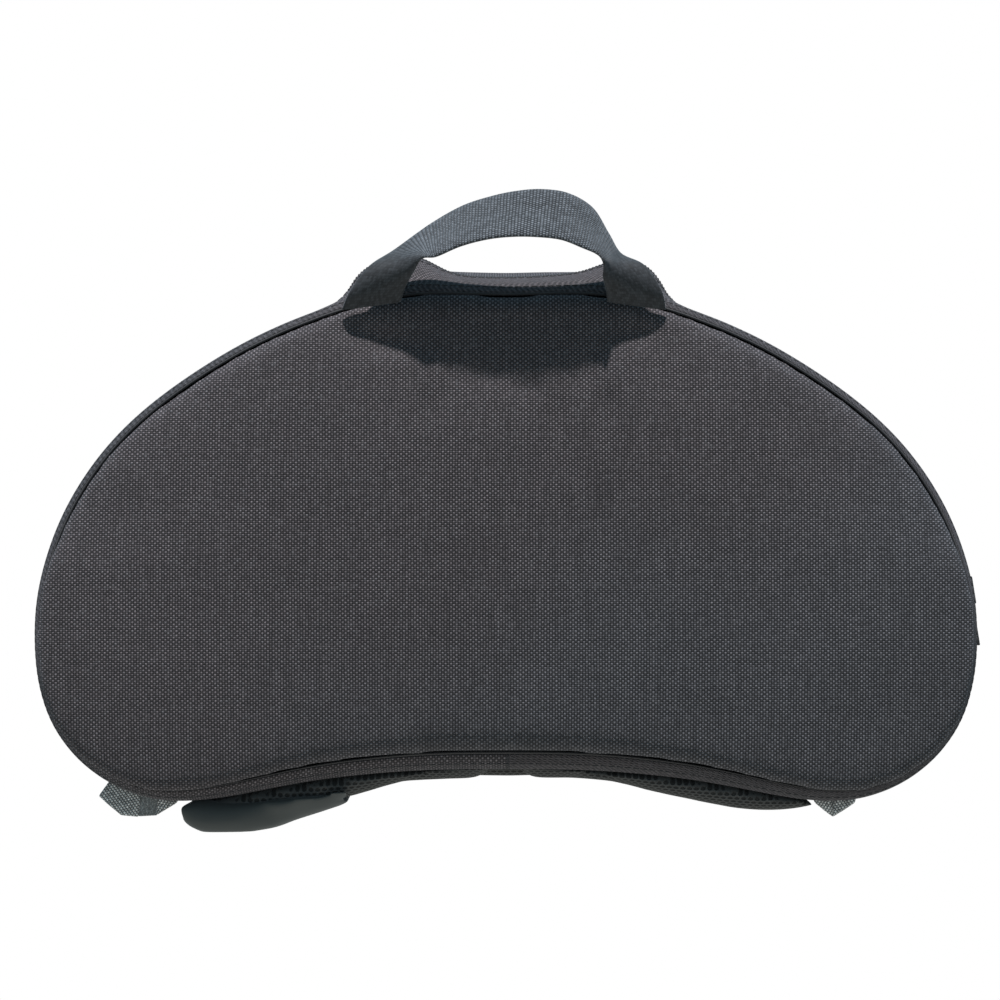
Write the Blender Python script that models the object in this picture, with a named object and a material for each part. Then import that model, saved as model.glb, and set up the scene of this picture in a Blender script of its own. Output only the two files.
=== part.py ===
import bpy
import bmesh
import numpy as np

for old in list(bpy.data.objects):
    bpy.data.objects.remove(old, do_unlink=True)

# Driving sizes, in metres. The pack lies on its waist side: +Z is up to the handle, the lid faces -Y,
# and y = 0 is the plane of the seam round the lid.
LID_WIDTH = 0.356
LID_HEIGHT = 0.190
SEAM_LIFT = 0.0155
DEPTH = 0.175

LID_CROWN = 0.0072
LID_THICK = 0.006
LID_ROLL = 0.0044
SEAM_SINK = 0.0003

SKIRT_DEPTH = 0.024
SKIRT_CLOTH = 0.0025
SIDE_BULGE = 0.0032
WAIST_BULGE = 0.0072

EAR_HEIGHT = 0.0172
BUMP_HALF = 0.066

ZIP_WIDTH = 0.0085
ZIP_TAPE = 0.0014
ZIP_COIL = 0.0011
ZIP_SINK = 0.0006

WALL = 0.006
BELLY = 0.0025
BASE_TAPER = 0.05
BASE_THICK = 0.006
BASE_CROWN = 0.003

POCKET_LENGTH = 0.118
POCKET_CLOTH = 0.0025
POCKET_SIDE_LIFT = 0.0008

HANDLE_WIDTH = 0.025
HANDLE_THICK = 0.002
HANDLE_RISE = 0.0300
HANDLE_LEAN = 0.010

PAD_LEFT_THICK = 0.0088
PAD_RIGHT_THICK = 0.0072
PAD_START = 0.008
PAD_LENGTH = 0.158
PAD_INNER = 0.02
PAD_OUTER = 0.67

WING_THICK = 0.0125
WING_HEIGHT = 0.084
WING_LEFT_START = 0.005
WING_RIGHT_START = 0.083
WING_INNER = 0.335
WING_OUTER = 0.705
WING_LEAST = 0.0018

TAB_THICK = 0.003
TAB_START = 0.012

SLIDER_LENGTH = 0.011
SLIDER_WIDTH = 0.0075
SLIDER_HEIGHT = 0.0022
PULL_LENGTH = 0.016
PULL_WIDTH = 0.0055
PULL_HEIGHT = 0.0012

# Clearances between pieces that touch on the real pack.
GAP = 0.0003
SOFT_GAP = 0.0006

# How finely the outline is cut.
BUMP_POINTS = 34
REST_POINTS = 50
WALL_POINTS = 60
WAIST_STEPS = 18

# Half of the lid's seam, from the middle of the top to the middle of the waist.
# across: share of half the lid's width. up: share of the lid's height.
SEAM_HALF = [
    # across, up
    (0.000, 1.000),
    (0.214, 0.998),
    (0.416, 0.948),
    (0.600, 0.867),
    (0.817, 0.716),
    (0.936, 0.560),
    (0.992, 0.404),
    (1.000, 0.305),
    (0.981, 0.174),
    (0.930, 0.092),
    (0.854, 0.034),
    (0.736, 0.000),
    (0.590, 0.017),
    (0.428, 0.050),
    (0.208, 0.074),
    (0.000, 0.078),
]

# The edge of the bump over the top seam, ear to ear, with the sag between the ears.
# across: share of BUMP_HALF. over: share of EAR_HEIGHT above the seam.
BUMP_EDGE = [
    # across, over
    (-0.950, 0.42),
    (-0.870, 0.80),
    (-0.750, 0.99),
    (-0.630, 1.00),
    (-0.520, 0.93),
    (-0.310, 0.53),
    (-0.040, 0.47),
    (0.440, 0.57),
    (0.580, 0.80),
    (0.660, 0.94),
    (0.740, 1.00),
    (0.820, 0.97),
    (0.900, 0.76),
    (0.950, 0.46),
]
BUMP_START = -1.06
BUMP_END = 1.03

# The skirt from the seam to the zip. along: share of SKIRT_DEPTH. bulge and bump: shares of their full size.
SKIRT_ROWS = [
    # along, bulge, bump
    (0.00, 0.00, 0.00),
    (0.08, 0.50, 0.05),
    (0.28, 0.95, 0.24),
    (0.60, 1.00, 0.60),
    (1.00, 0.92, 1.00),
]

# The wall from the zip to the base. belly: share of BELLY. taper: share of BASE_TAPER.
WALL_ROWS = [
    # along, belly, taper
    (0.00, 0.00, 0.00),
    (0.10, 0.55, 0.02),
    (0.40, 1.00, 0.20),
    (0.75, 0.75, 0.55),
    (0.94, 0.10, 0.85),
    (1.00, -0.80, 1.00),
]

# The lid's padded face. inset: share of the way from the seam to the lid's spine. crown: share of
# LID_CROWN beyond the rolled edge. roll: share of LID_ROLL.
LID_ROWS = [
    # inset, roll, crown
    (0.000, 0.00, 0.00),
    (0.004, 0.38, 0.00),
    (0.018, 0.75, 0.00),
    (0.060, 1.00, 0.05),
    (0.150, 1.00, 0.26),
    (0.270, 1.00, 0.50),
    (0.420, 1.00, 0.73),
    (0.640, 1.00, 0.93),
    (0.900, 1.00, 1.00),
]

# Soft dents of the lid under the handle. across: share of half the lid's width. up: share of the lid's
# height. wide, tall: shares of the lid's height. deep: share of LID_CROWN.
LID_DENTS = [
    # across, up, wide, tall, deep
    (0.000, 0.900, 0.290, 0.075, 0.26),
    (-0.160, 0.825, 0.080, 0.060, 0.16),
    (0.100, 0.755, 0.050, 0.085, 0.18),
    (0.330, 0.870, 0.070, 0.060, 0.10),
]
DENT_FADE = 0.06
FIRST_LINED_ROW = 5
SPINE_REACH = 0.60
SPINE_UP = 0.54
SPINE_DROP = 0.28

# The base panel from its middle to its edge. inset: as for the lid. crown: share of BASE_CROWN.
# sunk: share of BASE_THICK.
BASE_ROWS = [
    # inset, crown, sunk
    (0.90, 0.90, 0.00),
    (0.45, 0.70, 0.00),
    (0.15, 0.20, 0.00),
    (0.03, 0.00, 0.09),
    (0.00, 0.00, 0.21),
    (0.00, 0.00, 1.00),
]

# The front pocket behind the zip. along: share of POCKET_LENGTH. edge: how far the zip's edge shape is
# kept. full: share of the height of a plain rounded bump.
POCKET_ROWS = [
    # along, edge, full
    (0.00, 1.00, 1.00),
    (0.12, 0.70, 1.00),
    (0.35, 0.15, 1.02),
    (0.65, 0.00, 0.96),
    (0.86, 0.00, 0.74),
    (0.96, 0.00, 0.40),
    (1.00, 0.00, 0.03),
]
POCKET_FULL = 0.44
POCKET_SQUARE = 3.2

# The handle, root to root. x: share of BUMP_HALF. y: share of HANDLE_LEAN. z: share of HANDLE_RISE over
# the top of the seam. wx, wy, wz: which way the webbing's width points. width: share of HANDLE_WIDTH.
HANDLE_ROWS = [
    # x, y, z, wx, wy, wz, width
    (-0.770, -0.560, -0.185, -0.98, 0.04, -0.13, 0.90),
    (-0.735, -0.675, -0.010, -0.97, 0.12, -0.04, 0.82),
    (-0.655, -0.645, 0.245, -0.80, 0.58, 0.12, 0.76),
    (-0.560, -0.600, 0.440, -0.35, 0.93, 0.09, 0.98),
    (-0.415, -0.980, 0.616, -0.10, 0.88, 0.42, 0.99),
    (-0.255, -1.270, 0.785, 0.02, 0.79, 0.60, 0.97),
    (-0.100, -1.420, 0.882, 0.05, 0.70, 0.71, 0.98),
    (0.045, -1.480, 0.931, 0.06, 0.65, 0.76, 0.98),
    (0.190, -1.500, 0.940, 0.08, 0.63, 0.78, 1.00),
    (0.335, -1.430, 0.900, 0.12, 0.65, 0.77, 1.00),
    (0.465, -1.170, 0.768, 0.17, 0.76, 0.64, 1.00),
    (0.555, -0.830, 0.570, 0.19, 0.90, 0.38, 0.99),
    (0.606, -0.480, 0.392, 0.25, 0.95, 0.19, 0.98),
    (0.670, -0.555, 0.225, 0.75, 0.63, 0.26, 0.74),
    (0.728, -0.655, -0.010, 0.99, 0.12, 0.02, 0.84),
    (0.748, -0.560, -0.185, 0.98, 0.04, -0.13, 0.90),
]
HANDLE_STEPS = 38

# Thickness of a lumbar pad across its width, from the middle of the waist outwards, and along its length.
PAD_ACROSS = [
    (0.00, 0.22), (0.28, 0.26), (0.36, 0.40), (0.46, 0.74), (0.60, 0.95), (0.73, 1.00), (0.83, 0.80),
    (0.93, 0.42), (1.00, 0.16),
]
PAD_ALONG = [(0.00, 0.35), (0.03, 0.80), (0.10, 1.00), (0.90, 1.00), (0.97, 0.80), (1.00, 0.35)]

# Thickness of a belt wing from its inner end to its rounded outer end, and along its height.
WING_ACROSS = [(0.00, 0.20), (0.20, 0.30), (0.42, 0.42), (0.58, 0.90), (0.80, 1.00), (0.93, 0.95), (1.00, 0.42)]
WING_ALONG = [(0.00, 0.45), (0.05, 0.85), (0.14, 1.00), (0.86, 1.00), (0.95, 0.85), (1.00, 0.45)]

# Free corners of the tabs. across: share of half the lid's width. up: share of SEAM_LIFT.
TAB_LEFT_CORNERS = [(-0.878, 0.84), (-0.836, 0.29), (-0.757, 0.29)]
TAB_LEFT_ROOT = (-0.872, -0.716)
TAB_RIGHT_CORNERS = [(0.712, 0.28), (0.757, 0.56)]
TAB_RIGHT_ROOT = (0.682, 0.770)

# Where the zip ends, at the lobes, as a share of half the lid's width, and where its coil lies across it.
ZIP_END = 0.72
COIL_ACROSS = (0.0, 0.36, 0.64, 1.0)
SLIDER_UP = 0.36
SLIDER_ROUND = 0.25

# The tabs are sought on the seam's lower edge, this share of the lid's height under its middle.
TAB_BELOW = 0.2
WAIST_REACH = 0.95
MARK_CLEAR = 0.01
FAR = 9.0

CLOTH = (0.048, 0.044, 0.048)
MESH_CLOTH = (0.03, 0.032, 0.032)
BELT_CLOTH = (0.035, 0.042, 0.042)
ZIP_CLOTH = (0.03, 0.03, 0.033)
WEBBING = (0.09, 0.10, 0.11)
PLASTIC = (0.02, 0.02, 0.02)
CLOTH_ROUGH = 0.85
PLASTIC_ROUGH = 0.4

HALF = LID_WIDTH / 2
TOP = SEAM_LIFT + LID_HEIGHT
ZIP_START = SKIRT_DEPTH + GAP
WALL_START = ZIP_START + ZIP_WIDTH + GAP
WALL_END = DEPTH - BASE_THICK - GAP
CENTRE = np.array([0.0, SEAM_LIFT + LID_HEIGHT / 2])


def smooth_path(points, closed, steps=20):
    """Centripetal Catmull-Rom curve through the points."""
    pts = np.array(points, float)
    if closed:
        pts = np.vstack([pts[-1], pts, pts[0], pts[1]])
    else:
        pts = np.vstack([2 * pts[0] - pts[1], pts, 2 * pts[-1] - pts[-2]])
    out = []
    for i in range(1, len(pts) - 2):
        p0, p1, p2, p3 = pts[i - 1:i + 3]
        k1 = np.linalg.norm(p1 - p0) ** 0.5
        k2 = k1 + np.linalg.norm(p2 - p1) ** 0.5
        k3 = k2 + np.linalg.norm(p3 - p2) ** 0.5
        for t in np.linspace(k1, k2, steps, endpoint=False):
            a1 = p0 + (p1 - p0) * t / k1
            a2 = p1 + (p2 - p1) * (t - k1) / (k2 - k1)
            a3 = p2 + (p3 - p2) * (t - k2) / (k3 - k2)
            b1 = a1 + (a2 - a1) * t / k2
            b2 = a2 + (a3 - a2) * (t - k1) / (k3 - k1)
            out.append(b1 + (b2 - b1) * (t - k1) / (k2 - k1))
    if not closed:
        out.append(pts[-2])
    return np.array(out)


def resample(path, count):
    """Points at equal steps along an open path, both ends kept."""
    along = np.concatenate([[0], np.cumsum(np.linalg.norm(np.diff(path, axis=0), axis=1))])
    marks = np.linspace(0, along[-1], count)
    return np.column_stack([np.interp(marks, along, path[:, k]) for k in range(path.shape[1])])


def outward(loop):
    """Unit normals of a clockwise closed loop seen from the lid, pointing out."""
    step = np.roll(loop, -1, axis=0) - np.roll(loop, 1, axis=0)
    step /= np.linalg.norm(step, axis=1)[:, None]
    return np.column_stack([-step[:, 1], step[:, 0]])


def column(rows, k):
    return np.array([row[k] for row in rows])


def seam_curve():
    """The whole seam, clockwise from the middle of the top."""
    right = [(a * HALF, SEAM_LIFT + u * LID_HEIGHT) for a, u in SEAM_HALF]
    left = [(-x, z) for x, z in right[-2:0:-1]]
    return smooth_path(right + left, True)


def bump_loop():
    """The seam cut so that the stretch under the bump has its own even points, first."""
    dense = seam_curve()
    high = dense[:, 1] > CENTRE[1]
    start = np.argmin(np.where(high, abs(dense[:, 0] - BUMP_START * BUMP_HALF), FAR))
    end = np.argmin(np.where(high, abs(dense[:, 0] - BUMP_END * BUMP_HALF), FAR))
    over = np.vstack([dense[start:], dense[:end + 1]])
    rest = dense[end:start + 1]
    return np.vstack([resample(over, BUMP_POINTS)[:-1], resample(rest, REST_POINTS)[:-1]])


def plain_loop(count):
    dense = seam_curve()
    return resample(np.vstack([dense, dense[:1]]), count + 1)[:-1]


def bulge_of(loop, normal):
    """How far the cloth stands out beyond the seam: most in the middle of the waist side."""
    waist = np.clip(-normal[:, 1], 0, 1) * np.clip(1 - (loop[:, 0] / HALF) ** 2, 0, 1)
    return SIDE_BULGE + (WAIST_BULGE - SIDE_BULGE) * waist


def ring(loop, y):
    """The outside of the pack at depth y, without the bump."""
    normal = outward(loop)
    sink = ZIP_SINK if ZIP_START - GAP < y < WALL_START - GAP else 0.0
    skirt = np.interp(y / SKIRT_DEPTH, column(SKIRT_ROWS, 0), column(SKIRT_ROWS, 1))
    share = (y - WALL_START) / (WALL_END - WALL_START)
    belly = np.interp(share, column(WALL_ROWS, 0), column(WALL_ROWS, 1)) * BELLY
    taper = np.interp(share, column(WALL_ROWS, 0), column(WALL_ROWS, 2)) * BASE_TAPER
    belly = np.where(normal[:, 1] < 0, belly * (1 + normal[:, 1] * (belly > 0)), belly)
    out = loop + normal * (bulge_of(loop, normal) * skirt + belly - sink)[:, None]
    return out + (CENTRE - out) * taper


def bump_path(loop, full):
    """The far edge of the skirt over the bump, joined to the plain ring at both ends."""
    over = loop[:BUMP_POINTS]
    across = column(BUMP_EDGE, 0) * BUMP_HALF
    level = np.interp(across, over[:, 0], over[:, 1])
    inner = np.column_stack([across, level + column(BUMP_EDGE, 1) * EAR_HEIGHT])
    ends = full[[0, BUMP_POINTS - 1]]
    path = smooth_path(np.vstack([ends[:1], inner, ends[1:]]), False)
    return resample(path, BUMP_POINTS)


def skirt_ring(loop, y):
    """The outside of the skirt or the zip at depth y, with the bump."""
    out = ring(loop, y)
    share = np.interp(y / SKIRT_DEPTH, column(SKIRT_ROWS, 0), column(SKIRT_ROWS, 2))
    edge = bump_path(loop, ring(loop, SKIRT_DEPTH))
    fade = np.ones(BUMP_POINTS)
    fade[[0, -1]] = 0.0
    out[:BUMP_POINTS] += (edge - out[:BUMP_POINTS]) * (share * fade)[:, None]
    return out


def inwards(loop, distance):
    return loop - outward(loop) * distance


def at_depth(loop, y):
    return np.column_stack([loop[:, 0], np.full(len(loop), y), loop[:, 1]])


def material(name, colour, roughness):
    made = bpy.data.materials.new(name)
    made.use_nodes = True
    shader = made.node_tree.nodes["Principled BSDF"]
    shader.inputs["Base Color"].default_value = (*colour, 1)
    shader.inputs["Roughness"].default_value = roughness
    return made


def add_piece(name, mesh_of, colour, roughness, sharp=40):
    """One named object from a bmesh, its faces turned outwards."""
    bmesh.ops.recalc_face_normals(mesh_of, faces=mesh_of.faces)
    if mesh_of.calc_volume(signed=True) < 0:
        bmesh.ops.reverse_faces(mesh_of, faces=mesh_of.faces)
    mesh = bpy.data.meshes.new(name)
    mesh_of.to_mesh(mesh)
    mesh_of.free()
    mesh.shade_smooth()
    mesh.set_sharp_from_angle(angle=np.radians(sharp))
    mesh.materials.append(material(name, colour, roughness))
    piece = bpy.data.objects.new(name, mesh)
    bpy.context.collection.objects.link(piece)
    piece.parent = stand
    return piece


def skin(bm, rows, closed_rows, closed_across):
    """Quads between rows of equally many points."""
    grid = [[bm.verts.new(p) for p in row] for row in rows]
    if closed_rows:
        grid.append(grid[0])
    for low, high in zip(grid[:-1], grid[1:]):
        count = len(low)
        for i in range(count if closed_across else count - 1):
            j = (i + 1) % count
            bm.faces.new((low[i], low[j], high[j], high[i]))
    return grid


def band(rows):
    """A closed band: rows of closed loops, the last joined to the first."""
    bm = bmesh.new()
    skin(bm, rows, True, True)
    return bm


def plate(rows):
    """A closed plate: rows of closed loops from its front middle round its edge to its back middle."""
    bm = bmesh.new()
    grid = skin(bm, rows, False, True)
    bm.faces.new(grid[0])
    bm.faces.new(grid[-1])
    return bm


def slab(front, back):
    """A closed slab between two open grids of equal size."""
    bm = bmesh.new()
    rows = [np.vstack([f, b[::-1]]) for f, b in zip(front, back)]
    grid = skin(bm, rows, False, True)
    half = len(front[0])
    for row in (grid[0], grid[-1]):
        for i in range(half - 1):
            j = 2 * half - 1 - i
            bm.faces.new((row[i], row[i + 1], row[j - 1], row[j]))
    return bm


def lid_spine(loop):
    """Where each point of the seam is drawn to: a line along the middle of the lid."""
    across = loop[:, 0] * SPINE_REACH
    drop = SPINE_DROP * LID_HEIGHT * (loop[:, 0] / HALF) ** 2
    up = SEAM_LIFT + SPINE_UP * LID_HEIGHT - drop
    return np.column_stack([across, up])


def dents(ring_points):
    depth = np.zeros(len(ring_points))
    for across, up, wide, tall, deep in LID_DENTS:
        dx = (ring_points[:, 0] - across * HALF) / (wide * LID_HEIGHT)
        dz = (ring_points[:, 1] - SEAM_LIFT - up * LID_HEIGHT) / (tall * LID_HEIGHT)
        depth += deep * LID_CROWN * np.exp(-dx ** 2 - dz ** 2)
    return depth


def make_lid():
    loop = bump_loop()
    spine = lid_spine(loop)
    front = []
    back = []
    for row, (inset, roll, crown) in enumerate(LID_ROWS):
        flat = loop + (spine - loop) * inset
        hollow = dents(flat) * min(1.0, inset / DENT_FADE)
        y = -SEAM_SINK - roll * LID_ROLL - crown * LID_CROWN
        face = at_depth(flat, y)
        face[:, 1] += hollow
        front.append(face)
        if row >= FIRST_LINED_ROW:
            under = at_depth(flat, 0.0)
            under[:, 1] = np.minimum(face[:, 1] + LID_THICK, -SEAM_SINK)
            back.append(under)
    add_piece("lid_panel", plate(front[::-1] + back), CLOTH, CLOTH_ROUGH)


def make_skirt():
    loop = bump_loop()
    outer = [at_depth(skirt_ring(loop, a * SKIRT_DEPTH), a * SKIRT_DEPTH) for a, _, _ in SKIRT_ROWS]
    inner = []
    for a in column(SKIRT_ROWS, 0)[[4, 3, 2, 0]]:
        shell = inwards(skirt_ring(loop, a * SKIRT_DEPTH), SKIRT_CLOTH)
        inner.append(at_depth(shell, a * SKIRT_DEPTH))
    add_piece("lid_skirt", band(outer + inner), CLOTH, CLOTH_ROUGH)


def zip_rows():
    """Cross rows of the zip's band, outside then inside, as closed loops."""
    loop = bump_loop()
    start = skirt_ring(loop, ZIP_START)
    end = skirt_ring(loop, ZIP_START + ZIP_WIDTH)
    outer = []
    for along, raised in zip(COIL_ACROSS, (0.0, ZIP_COIL, ZIP_COIL, 0.0)):
        flat = start + (end - start) * along
        outer.append(at_depth(flat + outward(flat) * raised, ZIP_START + along * ZIP_WIDTH))
    inner = []
    for along in (1.0, 0.0):
        flat = inwards(start + (end - start) * along, ZIP_TAPE)
        inner.append(at_depth(flat, ZIP_START + along * ZIP_WIDTH))
    return loop, outer, inner


def across_band(start, end):
    """Rows from one edge of the zip's band to the other, on its flat."""
    return [start + (end - start) * along for along in COIL_ACROSS]


def stretch(rows, first, last):
    """The part of closed rows from one index on to another, drawn in by the gap at both ends."""
    count = len(rows[0])
    picks = [i % count for i in range(first, last + 1 + (count if last < first else 0))]
    out = []
    for row in rows:
        part = row[picks].copy()
        for end, nxt in ((0, 1), (-1, -2)):
            step = part[nxt] - part[end]
            part[end] += step / np.linalg.norm(step) * GAP
        out.append(part)
    return out


def make_zip():
    loop, outer, inner = zip_rows()
    low = loop[:, 1] < CENTRE[1]
    right = int(np.argmin(np.where(low, abs(loop[:, 0] - ZIP_END * HALF), FAR)))
    left = int(np.argmin(np.where(low, abs(loop[:, 0] + ZIP_END * HALF), FAR)))
    for name, first, last in (("lid_zip", left, right), ("hinge_strip", right, left)):
        front = outer if name == "lid_zip" else across_band(outer[0], outer[-1])
        back = across_band(inner[-1], inner[0])
        strip = slab(stretch(front, first, last), stretch(back, first, last))
        add_piece(name, strip, ZIP_CLOTH, CLOTH_ROUGH)


def make_wall():
    loop = plain_loop(WALL_POINTS)
    depths = [WALL_START + a * (WALL_END - WALL_START) for a, _, _ in WALL_ROWS]
    outer = [at_depth(ring(loop, y), y) for y in depths]
    inner = [at_depth(inwards(ring(loop, y), WALL), y) for y in (depths[-1], depths[2], depths[0])]
    add_piece("body_wall", band(outer + inner), CLOTH, CLOTH_ROUGH)
    edge = ring(loop, WALL_END)
    inside = DEPTH - BASE_THICK
    rows = []
    for inset, crown, sunk in BASE_ROWS:
        flat = edge + (lid_spine(edge) - edge) * inset
        rows.append(at_depth(flat, DEPTH + crown * BASE_CROWN - sunk * BASE_THICK))
    rows.append(at_depth(edge + (lid_spine(edge) - edge) * BASE_ROWS[0][0], inside))
    add_piece("base_panel", plate(rows), CLOTH, CLOTH_ROUGH)


def pocket_height(across):
    """A plain rounded bump, from edge to edge."""
    return (1 - abs(across) ** POCKET_SQUARE) ** 0.5


def make_pocket():
    loop = bump_loop()
    edge = bump_path(loop, ring(loop, SKIRT_DEPTH))
    edge = edge - outward(np.vstack([edge, CENTRE]))[:-1] * ZIP_SINK
    fine = plain_loop(WALL_POINTS)
    across = edge[:, 0]
    within = across * (1 - POCKET_CLOTH / abs(across[0]))
    plain = pocket_height(np.linspace(-1, 1, BUMP_POINTS)) * EAR_HEIGHT * POCKET_FULL
    front = []
    back = []
    for along, keep, full in POCKET_ROWS:
        y = WALL_START + along * POCKET_LENGTH
        wall = ring(fine, y)
        top = wall[wall[:, 1] > CENTRE[1]]
        top = top[np.argsort(top[:, 0])]
        ground = np.interp(across, top[:, 0], top[:, 1]) + POCKET_SIDE_LIFT
        ground_within = np.interp(within, top[:, 0], top[:, 1]) + POCKET_SIDE_LIFT
        shaped = np.maximum(edge[:, 1] - ground, 0)
        lift = (shaped * keep + plain * (1 - keep)) * full
        outer = np.column_stack([across, ground + lift + POCKET_CLOTH * (1 - keep)])
        outer[[0, -1], 1] = ground[[0, -1]]
        under = np.interp(within, across, outer[:, 1]) - POCKET_CLOTH
        inner = np.column_stack([within, np.maximum(ground_within, under)])
        front.append(at_depth(outer, y))
        back.append(at_depth(inner, y))
    add_piece("front_pocket", slab(front, back), CLOTH, CLOTH_ROUGH)


def make_handle():
    rows = np.array(HANDLE_ROWS)
    centre = np.column_stack([rows[:, 0] * BUMP_HALF, rows[:, 1] * HANDLE_LEAN, TOP + rows[:, 2] * HANDLE_RISE])
    width = rows[:, 3:6] / np.linalg.norm(rows[:, 3:6], axis=1)[:, None] * rows[:, 6:7]
    dense = smooth_path(np.hstack([centre, width * HANDLE_WIDTH]), False)
    marks = np.linspace(0, len(dense) - 1, HANDLE_STEPS)
    path = np.column_stack([np.interp(marks, np.arange(len(dense)), line) for line in dense.T])
    middle = path[:, :3]
    across = path[:, 3:]
    tangent = np.gradient(middle, axis=0)
    normal = np.cross(tangent, across)
    normal /= np.linalg.norm(normal, axis=1)[:, None]
    front = []
    back = []
    for m, w, n in zip(middle, across, normal):
        line = np.array([m + w * s for s in (-0.5, -0.2, 0.2, 0.5)])
        front.append(line + n * HANDLE_THICK / 2)
        back.append(line - n * HANDLE_THICK / 2)
    add_piece("handle", slab(front, back), WEBBING, CLOTH_ROUGH)


def under_side(y):
    """The underside of the pack at depth y, as x and z from left to right."""
    loop = plain_loop(WALL_POINTS) if y > WALL_START else bump_loop()
    shape = ring(loop, y)
    low = shape[(shape[:, 1] < CENTRE[1]) & (np.abs(shape[:, 0]) < WAIST_REACH * HALF)]
    return low[np.argsort(low[:, 0])]


def pad_faces(side, thick, across, y):
    """Top and underside of a lumbar pad at depth y, kept going past the pad's own edges."""
    under = under_side(y)
    share = (across / HALF - PAD_INNER) / (PAD_OUTER - PAD_INNER)
    wide = np.interp(share, column(PAD_ACROSS, 0), column(PAD_ACROSS, 1))
    along = np.interp((y - PAD_START) / PAD_LENGTH, column(PAD_ALONG, 0), column(PAD_ALONG, 1))
    top = np.interp(side * across, under[:, 0], under[:, 1]) - SOFT_GAP
    return top, top - thick * wide * along


def depth_marks(start, length, rows):
    """Depths where a piece under the pack needs a row: its own rows and those of what is above it."""
    own = [start + row[0] * length for row in rows]
    above = [row[0] * SKIRT_DEPTH for row in SKIRT_ROWS] + [ZIP_START, WALL_START - GAP, WALL_START]
    above += [WALL_START + row[0] * (WALL_END - WALL_START) for row in WALL_ROWS]
    above += [PAD_START + row[0] * PAD_LENGTH for row in PAD_ALONG]
    inside = [y for y in above if start < y < start + length]
    return sorted({round(y, 5) for y in own + inside})


def across_marks(first, last):
    """Shared places across one half of the waist side, so that stacked pieces have matching facets."""
    marks = np.linspace(PAD_INNER, WING_OUTER, WAIST_STEPS)
    inside = marks[(marks > first + MARK_CLEAR) & (marks < last - MARK_CLEAR)]
    return np.concatenate([[first], inside, [last]]) * HALF


def make_pads():
    for name, side, thick in (("left", -1, PAD_LEFT_THICK), ("right", 1, PAD_RIGHT_THICK)):
        across = across_marks(PAD_INNER, PAD_OUTER)
        top_rows = []
        low_rows = []
        for y in depth_marks(PAD_START, PAD_LENGTH, PAD_ALONG):
            top, low = pad_faces(side, thick, across, y)
            top_rows.append(np.column_stack([side * across, np.full(len(across), y), top]))
            low_rows.append(np.column_stack([side * across, np.full(len(across), y), low]))
        add_piece("lumbar_pad_" + name, slab(top_rows, low_rows), MESH_CLOTH, CLOTH_ROUGH)


def make_wings():
    sides = (("left", -1, PAD_LEFT_THICK, WING_LEFT_START), ("right", 1, PAD_RIGHT_THICK, WING_RIGHT_START))
    for name, side, pad, start in sides:
        across = across_marks(WING_INNER, WING_OUTER)
        shares = (across / HALF - WING_INNER) / (WING_OUTER - WING_INNER)
        wide = np.interp(shares, column(WING_ACROSS, 0), column(WING_ACROSS, 1))
        top_rows = []
        low_rows = []
        for y in depth_marks(start, WING_HEIGHT, WING_ALONG):
            thick = np.interp((y - start) / WING_HEIGHT, column(WING_ALONG, 0), column(WING_ALONG, 1))
            _, top = pad_faces(side, pad, across, y)
            top = top - SOFT_GAP
            low = np.maximum(0.0, np.minimum(top - WING_THICK * wide * thick, top - WING_LEAST))
            top_rows.append(np.column_stack([side * across, np.full(len(across), y), top]))
            low_rows.append(np.column_stack([side * across, np.full(len(across), y), low]))
        add_piece("belt_wing_" + name, slab(top_rows, low_rows), BELT_CLOTH, CLOTH_ROUGH)


def make_tabs():
    loop = bump_loop()
    shape = ring(loop, TAB_START)
    shape = shape + outward(shape) * SOFT_GAP
    low = shape[shape[:, 1] < CENTRE[1] - LID_HEIGHT * TAB_BELOW]
    low = low[np.argsort(low[:, 0])]
    for name, corners, root in (
        ("left", TAB_LEFT_CORNERS, TAB_LEFT_ROOT), ("right", TAB_RIGHT_CORNERS, TAB_RIGHT_ROOT)
    ):
        first, last = root
        across = np.linspace(last, first, 6) * HALF
        seat = np.column_stack([across, np.interp(across, low[:, 0], low[:, 1])])
        free = np.array([(a * HALF, u * SEAM_LIFT) for a, u in corners])
        outline = np.vstack([seat, free])
        rows = [at_depth(outline, TAB_START), at_depth(outline, TAB_START + TAB_THICK)]
        add_piece("tab_" + name, plate(rows), WEBBING, CLOTH_ROUGH)


def make_slider():
    loop, outer, _ = zip_rows()
    coil = outer[1][:, [0, 2]]
    want = SEAM_LIFT + SLIDER_UP * LID_HEIGHT
    spot = int(np.argmin(np.where(coil[:, 0] > 0, abs(coil[:, 1] - want), FAR)))
    normal = outward(coil)[spot]
    along = np.array([normal[1], -normal[0]])
    y = ZIP_START + ZIP_WIDTH / 2
    reach = SLIDER_LENGTH / 2 + PULL_LENGTH / 2 + GAP
    for name, shift, size in (
        ("zip_slider", 0.0, (SLIDER_LENGTH, SLIDER_WIDTH, SLIDER_HEIGHT)),
        ("zip_pull", reach, (PULL_LENGTH, PULL_WIDTH, PULL_HEIGHT)),
    ):
        bm = bmesh.new()
        bmesh.ops.create_cube(bm, size=1.0)
        base = coil[spot] + normal * (GAP * 2 + size[2] / 2) + along * shift
        for v in bm.verts:
            a, b, c = v.co.x * size[0], v.co.y * size[1], v.co.z * size[2]
            flat = base + along * a + normal * c
            v.co = (flat[0], y + b, flat[1])
        bmesh.ops.bevel(
            bm, geom=bm.edges[:], offset=size[2] * SLIDER_ROUND, segments=2, profile=0.5, affect="EDGES"
        )
        add_piece(name, bm, PLASTIC, PLASTIC_ROUGH)


stand = bpy.data.objects.new("waist_pack", None)
bpy.context.collection.objects.link(stand)

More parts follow.
